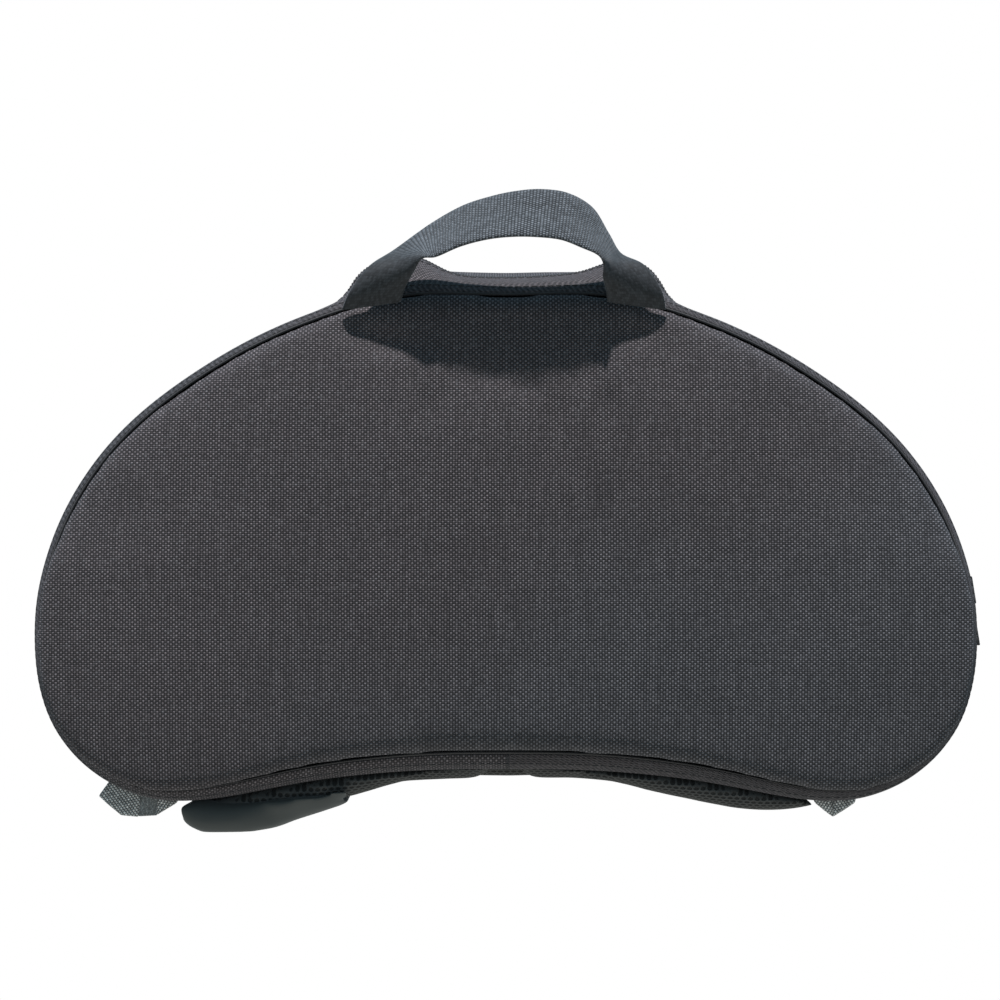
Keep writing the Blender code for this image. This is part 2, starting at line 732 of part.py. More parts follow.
make_lid()
make_skirt()
make_zip()
make_wall()
make_pocket()
make_handle()
make_pads()
make_wings()
make_tabs()
make_slider()

# The origin is under the middle of the pack's box, on what it rests on.
corners = np.array([
    v.co for piece in bpy.data.objects if piece.type == "MESH" for v in piece.data.vertices
])
middle = (corners.min(axis=0) + corners.max(axis=0)) / 2
stand.location = (-middle[0], -middle[1], 0.0)
bpy.context.view_layer.update()
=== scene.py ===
import bpy
import bmesh
import math
import numpy as np
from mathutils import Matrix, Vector, noise
from mathutils.bvhtree import BVHTree


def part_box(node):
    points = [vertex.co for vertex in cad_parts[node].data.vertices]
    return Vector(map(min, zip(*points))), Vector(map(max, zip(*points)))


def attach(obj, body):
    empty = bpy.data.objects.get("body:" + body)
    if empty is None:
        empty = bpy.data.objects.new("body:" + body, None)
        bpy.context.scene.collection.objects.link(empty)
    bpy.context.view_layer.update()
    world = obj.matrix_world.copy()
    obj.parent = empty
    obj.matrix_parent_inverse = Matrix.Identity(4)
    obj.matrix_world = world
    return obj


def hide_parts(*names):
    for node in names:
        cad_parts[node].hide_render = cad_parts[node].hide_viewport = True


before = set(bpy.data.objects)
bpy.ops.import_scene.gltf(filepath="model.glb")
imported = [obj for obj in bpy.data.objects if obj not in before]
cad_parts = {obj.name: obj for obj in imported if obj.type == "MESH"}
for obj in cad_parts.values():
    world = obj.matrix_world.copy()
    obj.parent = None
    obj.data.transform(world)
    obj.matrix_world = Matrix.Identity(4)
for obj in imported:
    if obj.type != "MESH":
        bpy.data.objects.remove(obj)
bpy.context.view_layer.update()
print("frame loaded:", len(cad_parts), "nodes")


# places that everything shares, read from the frame
lidLow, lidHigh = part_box("lid_panel")
skirtLow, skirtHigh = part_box("lid_skirt")
packMiddle = (lidLow.x + lidHigh.x) / 2
seamY = skirtLow.y
seamLow = lidLow.z
seamHigh = lidHigh.z
ringCentre = Vector((packMiddle, (seamLow + seamHigh) / 2))   # x and z
edgeClear = 0.0002             # sections are taken this far inside a piece's ends


# camera

camera = {
    "pixel": 0.0003805,        # metres to a pixel of the photo at the lid's seam
    "picture": 1000,
    "distance": 0.9,
    "height": 0.1267,
    "aside": -0.00228,
}


def placeCamera():
    lens = bpy.data.cameras.new("photoCamera")
    lens.sensor_fit = "HORIZONTAL"
    lens.angle = 2 * math.atan(camera["pixel"] * camera["picture"] / 2 / camera["distance"])
    lens.clip_start = 0.01
    eye = bpy.data.objects.new("photoCamera", lens)
    eye.location = (packMiddle + camera["aside"], seamY - camera["distance"], camera["height"])
    eye.rotation_euler = (math.pi / 2, 0, 0)
    bpy.context.collection.objects.link(eye)
    bpy.context.scene.camera = eye


# light

light = {
    "sunPower": 5.1,
    "sunColour": (1.0, 0.94, 0.93),
    "sunSpread": 2.5,          # degrees
    "sunForward": 14.5,        # degrees in front of straight up
    "sunAside": -2.0,          # degrees to the left
    "skyAbove": (0.19, 0.34, 0.44),
    "skyBelow": (0.42, 0.43, 0.41),
    "bouncePower": 0.7,        # sunlight that a pale floor throws back up
    "bounceColour": (1.0, 0.93, 0.84),
    "bounceSpread": 50.0,
    "bounceBelow": 68.0,       # degrees under level, from the front
    "backdrop": (1.0, 1.0, 1.0),
}


def placeLight():
    for name, turn, aside in (("sun", light["sunForward"], light["sunAside"]),
                              ("bounce", 90 + light["bounceBelow"], 0.0)):
        sun = bpy.data.lights.new(name, "SUN")
        sun.energy = light[name + "Power"]
        sun.color = light[name + "Colour"]
        sun.angle = math.radians(light[name + "Spread"])
        lamp = bpy.data.objects.new(name, sun)
        lamp.rotation_euler = (math.radians(turn), math.radians(aside), 0)
        bpy.context.collection.objects.link(lamp)
    world = bpy.data.worlds.new("studio")
    world.use_nodes = True
    tree = world.node_tree
    tree.nodes.clear()
    out = tree.nodes.new("ShaderNodeOutputWorld")
    mix = tree.nodes.new("ShaderNodeMixShader")
    path = tree.nodes.new("ShaderNodeLightPath")
    sky = tree.nodes.new("ShaderNodeBackground")
    back = tree.nodes.new("ShaderNodeBackground")
    way = addNode(tree, "TexCoord")
    height = addNode(tree, "SeparateXYZ", None, {0: way}, 2)
    plug(tree, sky.inputs["Color"],
         blendColours(tree, height.band(-0.5, 0.6), light["skyBelow"], light["skyAbove"]))
    back.inputs["Color"].default_value = (*light["backdrop"], 1)
    tree.links.new(path.outputs["Is Camera Ray"], mix.inputs[0])
    tree.links.new(sky.outputs[0], mix.inputs[1])
    tree.links.new(back.outputs[0], mix.inputs[2])
    tree.links.new(mix.outputs[0], out.inputs["Surface"])
    bpy.context.scene.world = world
    bpy.context.scene.view_settings.view_transform = "Standard"
    bpy.context.scene.view_settings.look = "None"


# shader maths as plain expressions

class Wire:
    def __init__(self, tree, socket):
        self.tree = tree
        self.socket = socket

    def maths(self, operation, *others):
        return addNode(self.tree, "Math", {"operation": operation}, dict(enumerate((self, *others))))

    def __add__(self, other):
        return self.maths("ADD", other)

    def __radd__(self, other):
        return self.maths("ADD", other)

    def __sub__(self, other):
        return self.maths("SUBTRACT", other)

    def __rsub__(self, other):
        return (self * -1.0).maths("ADD", other)

    def __mul__(self, other):
        return self.maths("MULTIPLY", other)

    def __rmul__(self, other):
        return self.maths("MULTIPLY", other)

    def __truediv__(self, other):
        return self.maths("DIVIDE", other)

    def __pow__(self, other):
        return self.maths("POWER", other)

    def floor(self):
        return self.maths("FLOOR")

    def fract(self):
        return self.maths("FRACT")

    def cos(self):
        return self.maths("COSINE")

    def mod(self, other):
        return self.maths("FLOORED_MODULO", other)

    def least(self, other):
        return self.maths("MINIMUM", other)

    def most(self, other):
        return self.maths("MAXIMUM", other)

    def band(self, low, high):          # 0 at low, 1 at high, eased between
        made = self.tree.nodes.new("ShaderNodeMapRange")
        made.interpolation_type = "SMOOTHSTEP"
        plug(self.tree, made.inputs["Value"], self)
        made.inputs["From Min"].default_value = low
        made.inputs["From Max"].default_value = high
        return Wire(self.tree, made.outputs[0])


def plug(tree, socket, value):
    if isinstance(value, Wire):
        tree.links.new(value.socket, socket)
    elif hasattr(socket.default_value, "__len__") and not hasattr(value, "__len__"):
        socket.default_value = [value] * len(socket.default_value)
    elif hasattr(value, "__len__") and len(value) == 3 and len(socket.default_value) == 4:
        socket.default_value = (*value, 1)
    else:
        socket.default_value = value


def addNode(tree, kind, settings=None, inputs=None, output=0):
    made = tree.nodes.new("ShaderNode" + kind)
    for key, value in (settings or {}).items():
        setattr(made, key, value)
    for key, value in (inputs or {}).items():
        plug(tree, made.inputs[key], value)
    return Wire(tree, made.outputs[output])


def blendColours(tree, share, low, high):
    made = tree.nodes.new("ShaderNodeMix")
    made.data_type = "RGBA"
    plug(tree, made.inputs[0], share)
    plug(tree, made.inputs[6], low)
    plug(tree, made.inputs[7], high)
    return Wire(tree, made.outputs[2])


def scaleColour(tree, colour, share):
    made = tree.nodes.new("ShaderNodeVectorMath")
    made.operation = "SCALE"
    plug(tree, made.inputs[0], colour)
    plug(tree, made.inputs["Scale"], share)
    return Wire(tree, made.outputs[0])


def splitPlace(tree, fromUV):
    # where a point is, on the piece's UV map or in metres, whole and in parts
    place = tree.nodes.new("ShaderNodeTexCoord")
    parts = tree.nodes.new("ShaderNodeSeparateXYZ")
    whole = Wire(tree, place.outputs["UV" if fromUV else "Object"])
    plug(tree, parts.inputs[0], whole)
    x, y, z = (Wire(tree, out) for out in parts.outputs)
    return whole, x, y, z


def joinPlace(tree, x, y, z=0.0):
    made = tree.nodes.new("ShaderNodeCombineXYZ")
    for slot, value in enumerate((x, y, z)):
        plug(tree, made.inputs[slot], value)
    return Wire(tree, made.outputs[0])


def noiseAt(tree, place, scale, detail=2.0, roughness=0.5):
    return addNode(tree, "TexNoise", None,
                   {"Vector": place, "Scale": scale, "Detail": detail, "Roughness": roughness})


def newFinish(name, roughness, specular=0.3, sheen=0.0, sheenRough=0.5, sheenTint=(1, 1, 1)):
    material = bpy.data.materials.new(name)
    material.use_nodes = True
    tree = material.node_tree
    shader = tree.nodes["Principled BSDF"]
    shader.inputs["Roughness"].default_value = roughness
    shader.inputs["Specular IOR Level"].default_value = specular
    shader.inputs["Sheen Weight"].default_value = sheen
    shader.inputs["Sheen Roughness"].default_value = sheenRough
    shader.inputs["Sheen Tint"].default_value = (*sheenTint, 1)
    return material, tree, shader


def raiseBump(tree, shader, height, strength, distance):
    bump = tree.nodes.new("ShaderNodeBump")
    bump.inputs["Strength"].default_value = strength
    bump.inputs["Distance"].default_value = distance
    plug(tree, bump.inputs["Height"], height)
    tree.links.new(bump.outputs[0], shader.inputs["Normal"])


# the heavy plain-weave nylon of the pack

packCloth = {
    "pitch": 0.00104,          # from warp thread to warp thread
    "pitchAcross": 0.00082,    # from weft thread to weft thread
    "colour": (0.061, 0.0545, 0.0585),
    "blueColour": (0.056, 0.056, 0.062),       # where the dye has taken more blue
    # painted highlight: the colour that a few knots are lightened towards, standing in for glints of light
    # on them
    "pale": (0.12, 0.12, 0.13),
    "weftLevel": 0.30,         # the weft lies lower and darker than the warp's knots
    "wander": 0.20,
    "slubs": 0.50,
    "bumpHeight": 0.00050,
}


def clothFinish(name, fromUV, look):
    material, tree, shader = newFinish(name, 0.7, 0.32, 0.10, 0.45, (0.8, 0.87, 1.0))
    place, x, y, z = splitPlace(tree, fromUV)
    u, v = (x, y) if fromUV else (x, z)
    wave = noiseAt(tree, place, 90.0, 2.0)
    waveB = noiseAt(tree, place, 70.0, 2.0, 0.6)
    u = u / look["pitch"] + (wave - 0.5) * look["wander"] * 2
    v = v / look["pitchAcross"] + (waveB - 0.5) * look["wander"] * 2
    cellU, cellV = u.floor(), v.floor()
    fu, fv = (u.fract() - 0.5) * math.pi, (v.fract() - 0.5) * math.pi
    over = (cellU + cellV).mod(2.0)
    warp = (fu.cos() ** 0.7) * (fv.cos() * 0.55 + 0.45)
    weft = (fv.cos() ** 0.7) * (fu.cos() * 0.55 + 0.45)
    height = over * warp + (1 - over) * weft * look["weftLevel"]
    warpTone = noiseAt(tree, joinPlace(tree, cellU * 0.73, v * 0.035, 3.1), 1.0, 1.0)
    weftTone = noiseAt(tree, joinPlace(tree, u * 0.035, cellV * 0.73, 7.7), 1.0, 1.0)
    tone = over * warpTone + (1 - over) * weftTone
    tone = (tone - 0.5) * look["slubs"] * 2 + 1.0
    knot = addNode(tree, "TexWhiteNoise", {"noise_dimensions": "2D"},
                   {"Vector": joinPlace(tree, cellU + 0.5, cellV + 0.5)})
    # painted highlight: a few random knots are lightened towards the pale colour as painted glints; they are
    # also made glossier
    paintedGlintKnots = knot.band(0.80, 1.0)
    broad = noiseAt(tree, place, 14.0, 3.0)
    level = (height * 3.0 - 0.10).most(0.04) * tone * (0.86 + broad * 0.28) * (0.78 + knot * 0.44)
    dye = noiseAt(tree, place, 5.0, 1.0).band(0.42, 0.66)
    colour = scaleColour(tree, blendColours(tree, dye, look["colour"], look["blueColour"]), level)
    colour = blendColours(tree, paintedGlintKnots * height * 0.7, colour, look["pale"])
    plug(tree, shader.inputs["Base Color"], colour)
    plug(tree, shader.inputs["Roughness"], 0.84 - height * 0.14 - paintedGlintKnots * 0.16)
    raiseBump(tree, shader, height * (0.8 + 0.2 * tone), 1.0, look["bumpHeight"])
    return material


# meshes

def finishMesh(name, bm, fixNormals=False):
    if fixNormals:
        bmesh.ops.recalc_face_normals(bm, faces=bm.faces)
    mesh = bpy.data.meshes.new(name)
    bm.to_mesh(mesh)
    bm.free()
    mesh.shade_smooth()
    piece = bpy.data.objects.new(name, mesh)
    bpy.context.collection.objects.link(piece)
    return piece


def nodeTree(*nodes):
    # a search tree over the faces of some frame pieces
    verts, faces = [], []
    for node in nodes:
        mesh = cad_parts[node].data
        start = len(verts)
        verts += [v.co.copy() for v in mesh.vertices]
        faces += [[start + i for i in p.vertices] for p in mesh.polygons]
    return BVHTree.FromPolygons(verts, faces)


def smoothRing(points, width):
    # a running average round a closed ring of evenly spaced points
    reach = max(1, int(width))
    weights = np.cos(np.linspace(-math.pi / 2, math.pi / 2, 2 * reach + 1)) ** 2
    weights /= weights.sum()
    out = np.zeros_like(points)
    for step, share in zip(range(-reach, reach + 1), weights):
        out += np.roll(points, step, axis=0) * share
    return out


def evenRing(points, count):
    closed = np.vstack([points, points[:1]])
    along = np.concatenate([[0], np.cumsum(np.linalg.norm(np.diff(closed, axis=0), axis=1))])
    marks = np.linspace(0, along[-1], count, endpoint=False)
    return np.column_stack([np.interp(marks, along, closed[:, k]) for k in range(2)]), along[-1]


outline = {
    "rays": 720,
    "fine": 900,
    "firstReach": 0.16,        # where the first ray would miss
    "outside": 0.4,
    "bumpHalf": 0.088,         # the front bump and its ears keep their sharper form within this
    "bumpFade": 0.014,
    "soften": 0.004,
    "broad": 0.016,
}


def sectionRing(tree, y, count, soften=outline["soften"]):
    # the outer outline of a frame piece at depth y, from the middle of the waist side, clockwise seen
    # from the lid, as x and z
    hits = []
    last = outline["firstReach"]
    for k in range(outline["rays"]):
        turn = -math.pi / 2 - 2 * math.pi * k / outline["rays"]
        way = Vector((math.cos(turn), 0, math.sin(turn)))
        start = Vector((ringCentre.x, y, ringCentre.y)) + way * outline["outside"]
        place = tree.ray_cast(start, -way)[0]
        reach = (Vector((place.x, place.z)) - ringCentre).length if place else last
        last = reach
        hits.append((ringCentre.x + way.x * reach, ringCentre.y + way.z * reach))
    fine, length = evenRing(np.array(hits), outline["fine"])
    step = length / outline["fine"]
    aside = np.abs(fine[:, 0] - packMiddle)
    bump = np.clip((outline["bumpHalf"] - aside) / outline["bumpFade"], 0, 1) * (fine[:, 1] > ringCentre.y)
    near = smoothRing(fine, soften / step)
    far = smoothRing(smoothRing(fine, outline["broad"] / step), soften / step)
    return evenRing(far + (near - far) * bump[:, None], count)


def loftRings(rings):
    # a skin through closed rings of equal counts; each ring is (points as x and z, y)
    bm = bmesh.new()
    across = bm.verts.layers.float.new("across")
    along = bm.verts.layers.float.new("along")
    edges = []
    travelled = 0.0
    before = None
    for points, y in rings:
        verts = [bm.verts.new((p[0], y, p[1])) for p in points]
        if before is not None:
            step = np.hypot(np.linalg.norm(points - before[0], axis=1), y - before[1]).mean()
            travelled += step
        before = (points, y)
        length = np.linalg.norm(points - np.roll(points, -1, axis=0), axis=1).sum()
        for i, vert in enumerate(verts):
            vert[along] = length * i / len(verts)
            vert[across] = travelled
        edges.append([bm.edges.new((verts[i], verts[(i + 1) % len(verts)])) for i in range(len(verts))])
    for low, high in zip(edges[:-1], edges[1:]):
        bmesh.ops.bridge_loops(bm, edges=low + high)
    return bm


def uvFromLayers(bm, length):
    across = bm.verts.layers.float["across"]
    along = bm.verts.layers.float["along"]
    layer = bm.loops.layers.uv.new("clothUV")
    for face in bm.faces:
        marks = [loop.vert[along] for loop in face.loops]
        wraps = max(marks) - min(marks) > length / 2
        for loop in face.loops:
            mark = loop.vert[along]
            if wraps and mark < length / 2:
                mark += length
            loop[layer].uv = (mark, loop.vert[across])


def addModifier(piece, kind, **settings):
    made = piece.modifiers.new(kind.title(), kind)
    for key, value in settings.items():
        setattr(made, key, value)
    return made


def applyModifiers(piece):
    bpy.context.view_layer.update()
    shape = bpy.data.meshes.new_from_object(piece.evaluated_get(bpy.context.evaluated_depsgraph_get()))
    piece.modifiers.clear()
    old = piece.data
    piece.data = shape
    bpy.data.meshes.remove(old)


def settle(piece, material, slot, *nodes):
    piece.data.materials.clear()
    piece.data.materials.append(material)
    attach(piece, "root")
    if nodes:
        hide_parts(*nodes)
    return piece


# soft relief that more than one piece uses

def crumple(piece, reach, size, seed=0.0, way=None, fade=None):
    # pushes each point along its normal by smooth noise; fade gives each point's share
    mesh = piece.data
    for vert in mesh.vertices:
        share = fade(vert.co) if fade else 1.0
        if share <= 0.0:
            continue
        place = vert.co / size + Vector((seed, seed * 1.7, -seed))
        push = noise.noise(place) * 0.7 + noise.noise(place * 2.1) * 0.3
        vert.co += (way or vert.normal) * (push * reach * share)
    mesh.update()


def inflate(piece, pressure, cap, frames=20, stiffness=12.0):
    # cloth under air pressure, with gravity off; what it moves is capped and kept in the mesh
    before = np.array([v.co[:] for v in piece.data.vertices])
    made = piece.modifiers.new("Cloth", "CLOTH")
    cloth = made.settings
    cloth.quality = 4
    cloth.mass = 0.25
    cloth.tension_stiffness = stiffness
    cloth.compression_stiffness = stiffness
    cloth.shear_stiffness = stiffness / 3
    cloth.bending_stiffness = 0.4
    cloth.use_pressure = True
    cloth.uniform_pressure_force = pressure
    cloth.effector_weights.gravity = 0
    made.collision_settings.use_collision = False
    scene = bpy.context.scene
    for step in range(1, frames + 1):
        scene.frame_set(step)
    shape = piece.evaluated_get(bpy.context.evaluated_depsgraph_get()).to_mesh()
    after = np.array([v.co[:] for v in shape.vertices])
    piece.modifiers.clear()
    scene.frame_set(1)
    move = after - before
    far = np.linalg.norm(move, axis=1)
    move *= np.minimum(1.0, cap / np.maximum(far, 1e-9))[:, None]
    piece.data.vertices.foreach_set("co", (before + move).ravel())
    piece.data.update()
    print(piece.name, "swelled by up to", round(float(np.minimum(far, cap).max()) * 1000, 2), "mm")


def subdivide(piece, levels=1):
    addModifier(piece, "SUBSURF", levels=levels, render_levels=levels)
    applyModifiers(piece)
    piece.data.shade_smooth()


# the lid's padded face

lid = {
    "points": 332,
    "insets": (0.0, 0.004, 0.010, 0.018, 0.030, 0.045, 0.063, 0.085, 0.11, 0.14, 0.175, 0.215, 0.26, 0.31,
               0.365, 0.425, 0.49, 0.56, 0.63, 0.70, 0.77, 0.84, 0.90),
    "spread": 0.0005,          # makes up for the rounding of its rim
    "rimTuck": 0.0016,
    "rimDeep": 0.0055,
    "voxel": 0.0024,
    "spineReach": 0.60,
    "spineUp": 0.54,
    "spineDrop": 0.28,
    "pressure": 3.0,
    "cap": 0.0014,
    "crumple": 0.0007,
    "crumpleSize": 0.055,
    "flatTop": 0.128,          # the crown is flattened below this height, in full at flatLow
    "flatLow": 0.095,
    "flatPower": 0.36,
    # soft dents and swellings near the handle: the photo's pixel, half width and height, and depth in metres
    "dents": (
        (352, 330, 26, 13, 0.0016),
        (386, 342, 26, 15, 0.0026),
        (429, 374, 13, 20, -0.0018),
        (486, 376, 28, 14, 0.0010),
        (526, 388, 18, 13, 0.0013),
        (552, 370, 9, 18, -0.0005),
        (580, 380, 16, 14, 0.0006),
        (608, 376, 10, 20, -0.0014),
        (636, 334, 22, 15, 0.0020),
        (548, 420, 15, 34, 0.0007),
        (462, 392, 26, 20, 0.0005),
        (430, 410, 20, 26, -0.0004),
    ),
}


def towardsSpine(points, inset):
    across = (points[:, 0] - packMiddle) * lid["spineReach"] + packMiddle
    half = (lidHigh.x - lidLow.x) / 2
    tall = seamHigh - seamLow
    drop = lid["spineDrop"] * tall * ((points[:, 0] - packMiddle) / half) ** 2
    spine = np.column_stack([across, seamLow + lid["spineUp"] * tall - drop])
    return points + (spine - points) * inset


def makePanel(name, node, edgeTree, edgeY, way, look):
    # a padded panel: rings from its seam to its middle, a rim behind the seam and a flat back
    tree = nodeTree(node)
    edge, _ = sectionRing(edgeTree, edgeY, look["points"])
    edge = tuckIn(edge, -look["spread"])
    bm = bmesh.new()
    rings = []
    rim = tuckIn(edge, look["rimTuck"])
    rows = [(rim, -way * look["rimDeep"]), (tuckIn(edge, look["rimTuck"] / 2), -way * look["rimDeep"] * 0.3)]
    rows += [(towardsSpine(edge, inset), None) for inset in look["insets"]]
    for points, behind in rows:
        row = []
        for x, z in points:
            hit = tree.ray_cast(Vector((x, edgeY + way * 0.1, z)), Vector((0, -way, 0)))[0]
            if behind is None:
                depth = hit.y if hit else edgeY
            else:
                depth = edgeY + behind
            row.append(bm.verts.new((x, depth, z)))
        rings.append([bm.edges.new((row[i], row[(i + 1) % len(row)])) for i in range(len(row))])
    for low, high in zip(rings[:-1], rings[1:]):
        bmesh.ops.bridge_loops(bm, edges=low + high)
    bmesh.ops.holes_fill(bm, edges=rings[0] + rings[-1], sides=0)
    piece = finishMesh(name, bm, fixNormals=True)
    remesh(piece, look["voxel"])
    relax(piece, 2)
    inflate(piece, look["pressure"], look["cap"])
    relax(piece, 3)
    subdivide(piece)
    return piece


def ease(value, low, high):
    share = min(1.0, max(0.0, (value - low) / (high - low)))
    return share * share * (3 - 2 * share)


def flattenLow(piece):
    # below the middle the lid's face is nearly level and turns in only near its seam
    tall = max(seamY - vert.co.y for vert in piece.data.vertices)
    for vert in piece.data.vertices:
        rise = seamY - vert.co.y
        if rise > 0:
            share = 1 - ease(vert.co.z, lid["flatLow"], lid["flatTop"])
            power = 1 - (1 - lid["flatPower"]) * share
            vert.co.y = seamY - tall * (rise / tall) ** power
    piece.data.update()


def dentLid(piece):
    for vert in piece.data.vertices:
        if vert.co.y > seamY - 0.001:
            continue
        scale = camera["pixel"] * (camera["distance"] + vert.co.y - seamY) / camera["distance"]
        px = camera["picture"] / 2 + (vert.co.x - packMiddle - camera["aside"]) / scale
        py = camera["picture"] / 2 - (vert.co.z - camera["height"]) / scale
        for x, y, wide, tall, deep in lid["dents"]:
            far = ((px - x) / wide) ** 2 + ((py - y) / tall) ** 2
            if far < 9:
                vert.co.y += deep * math.exp(-far)
    piece.data.update()


def makeLid(cloth):
    piece = makePanel("lidPanelCloth", "lid_panel", nodeTree("lid_skirt"), seamY + 0.0004, -1.0, lid)
    flattenLow(piece)
    crumple(piece, lid["crumple"], lid["crumpleSize"], 3.0, Vector((0, 1, 0)),
            lambda co: min(1.0, max(0.0, (seamY - 0.002 - co.y) / 0.006)))
    dentLid(piece)
    settle(piece, cloth, "pack_cloth", "lid_panel")
    return piece


# the lid's skirt

skirt = {
    "rows": 15,
    "points": 640,
    "seamTuck": 0.0011,        # how far the cloth turns in at the seam
    "cloth": 0.0016,
    "gather": 1.35,            # rows lie closer together near the seam
    "hem": 0.0012,             # how far behind the first row the turned edge ends
}


def tuckIn(points, reach):
    centre = np.array([ringCentre.x, ringCentre.y])
    way = centre - points
    return points + way / np.linalg.norm(way, axis=1)[:, None] * reach


def makeSkirt(cloth):
    tree = nodeTree("lid_skirt")
    depth = skirtHigh.y - skirtLow.y
    rings = []
    for row in range(skirt["rows"]):
        share = (row / (skirt["rows"] - 1)) ** skirt["gather"]
        y = seamY + edgeClear + share * (depth - 2 * edgeClear)
        points, length = sectionRing(tree, y, skirt["points"])
        rings.append((points, y))
    first, y = rings[0]
    rings.insert(0, (tuckIn(first, skirt["seamTuck"]), y + skirt["hem"]))
    bm = loftRings(rings)
    uvFromLayers(bm, length)
    piece = finishMesh("lidSkirtCloth", bm, fixNormals=True)
    addModifier(piece, "SOLIDIFY", thickness=skirt["cloth"], offset=-1.0)
    applyModifiers(piece)
    return settle(piece, cloth, "pack_cloth", "lid_skirt")


# the zip: two tapes and a coil round the edge of the skirt

zipper = {
    "points": 640,
    "cloth": 0.0012,
    "pitch": 0.0014,
    "toothLong": 0.0024,
    "toothWide": 0.00085,
    "toothHigh": 0.0011,
    "spread": 0.00085,         # from the middle of the coil to the middle of a tooth
    "slant": 14.0,
    "endAcross": 0.72,         # the coil stops here, as a share of half the lid
    "shares": (0.0, 0.12, 0.3, 0.5, 0.7, 0.88, 1.0),
    "dip": 0.0004,             # how far the tape lies in at its middle
    "colour": (0.022, 0.022, 0.024),
}


def zipFinish():
    material, tree, shader = newFinish("zipCoil", 0.42, 0.4, 0.0)
    place = splitPlace(tree, False)[0]
    grain = noiseAt(tree, place, 900.0, 2.0)
    plug(tree, shader.inputs["Base Color"], scaleColour(tree, zipper["colour"], 0.8 + grain * 0.5))
    plug(tree, shader.inputs["Roughness"], 0.36 + grain * 0.2)
    return material


def tapeFinish():
    material, tree, shader = newFinish("zipTape", 0.85, 0.2, 0.1)
    u, v = splitPlace(tree, True)[1:3]
    ribs = ((v / 0.0007) * 2 * math.pi).cos() * 0.5 + 0.5
    knots = ((u / 0.0008) * 2 * math.pi).cos() * 0.5 + 0.5
    height = ribs * 0.6 + knots * 0.4
    plug(tree, shader.inputs["Base Color"], scaleColour(tree, (0.036, 0.037, 0.040), 0.55 + height * 0.75))
    raiseBump(tree, shader, height, 0.7, 0.0002)
    return material


def makeZip(tape, coil):
    tree = nodeTree("lid_zip", "hinge_strip")
    low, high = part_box("lid_zip")
    startY, endY = low.y + 0.0001, high.y - 0.0001
    start, length = sectionRing(tree, startY, zipper["points"])
    end, _ = sectionRing(tree, endY, zipper["points"])
    rings = []
    for share in zipper["shares"]:
        dip = zipper["dip"] * math.sin(math.pi * share)
        rings.append((tuckIn(start + (end - start) * share, dip), startY + (endY - startY) * share))
    bm = loftRings(rings)
    uvFromLayers(bm, length)
    strip = finishMesh("zipTapeCloth", bm, fixNormals=True)
    addModifier(strip, "SOLIDIFY", thickness=zipper["cloth"], offset=-1.0)
    applyModifiers(strip)
    settle(strip, tape, "zip_cloth", "lid_zip", "hinge_strip")

    tooth = bmesh.new()
    bmesh.ops.create_cube(tooth, size=1.0)
    bmesh.ops.scale(tooth, verts=tooth.verts,
                    vec=(zipper["toothWide"], zipper["toothLong"], zipper["toothHigh"]))
    bmesh.ops.bevel(tooth, geom=tooth.edges[:], offset=zipper["toothWide"] * 0.33, segments=1, profile=0.5,
                    affect="EDGES", material=-1)
    pattern = bpy.data.meshes.new("tooth")
    tooth.to_mesh(pattern)
    tooth.free()
    middle = (start + end) / 2
    fine, length = evenRing(middle, int(length / zipper["pitch"]))
    centre = np.array([ringCentre.x, ringCentre.y])
    half = (lidHigh.x - lidLow.x) / 2
    bm = bmesh.new()
    for i, place in enumerate(fine):
        if place[1] < ringCentre.y and abs(place[0] - packMiddle) < zipper["endAcross"] * half:
            continue
        step = fine[(i + 1) % len(fine)] - fine[i - 1]
        step /= np.linalg.norm(step)
        out = np.array([-step[1], step[0]])
        if out @ (place - centre) < 0:
            out = -out
        along = Vector((step[0], 0, step[1]))
        up = Vector((out[0], 0, out[1]))
        for side in (-1, 1):
            spot = Vector((place[0], (startY + endY) / 2 + side * zipper["spread"], place[1]))
            spot += along * (side * zipper["pitch"] / 4) + up * (zipper["toothHigh"] * 0.30)
            lean = math.radians(zipper["slant"]) * side
            lengthWay = Vector((0, 1, 0)) * math.cos(lean) + along * math.sin(lean)
            wideWay = lengthWay.cross(up)
            first = len(bm.verts)
            bm.from_mesh(pattern)
            bm.verts.ensure_lookup_table()
            for vert in bm.verts[first:]:
                x, y, z = vert.co
                droop = abs(y) / zipper["toothLong"] * zipper["toothHigh"] * 0.5
                vert.co = spot + wideWay * x + lengthWay * y + up * (z - droop)
    teeth = finishMesh("zipCoilTeeth", bm, fixNormals=True)
    return settle(teeth, coil, "zip_cloth")


# the wall, the base and the pocket

wall = {
    "rows": 26,
    "points": 520,
    "soften": 0.006,
    "cloth": 0.0016,
    "crumple": 0.0012,
    "crumpleSize": 0.06,
}


def makeWall(cloth):
    tree = nodeTree("body_wall")
    low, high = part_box("body_wall")
    rings = []
    for row in range(wall["rows"]):
        share = row / (wall["rows"] - 1)
        y = low.y + edgeClear + share * (high.y - low.y - 2 * edgeClear)
        points, length = sectionRing(tree, y, wall["points"], wall["soften"])
        rings.append((points, y))
    bm = loftRings(rings)
    uvFromLayers(bm, length)
    piece = finishMesh("bodyWallCloth", bm, fixNormals=True)
    crumple(piece, wall["crumple"], wall["crumpleSize"], 9.0, None,
            lambda co: min(1.0, (co.y - low.y) / 0.02, (high.y - co.y) / 0.02))
    addModifier(piece, "SOLIDIFY", thickness=wall["cloth"], offset=-1.0)
    applyModifiers(piece)
    settle(piece, cloth, "pack_cloth", "body_wall")
    return piece


base = dict(lid, pressure=2.0, cap=0.0012, rimTuck=0.0008, rimDeep=0.0030, seamBehind=0.0035)


def makeBase(cloth):
    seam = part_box("base_panel")[0].y + base["seamBehind"]
    piece = makePanel("basePanelCloth", "base_panel", nodeTree("base_panel"), seam, 1.0, base)
    settle(piece, cloth, "pack_cloth", "base_panel")
    return piece


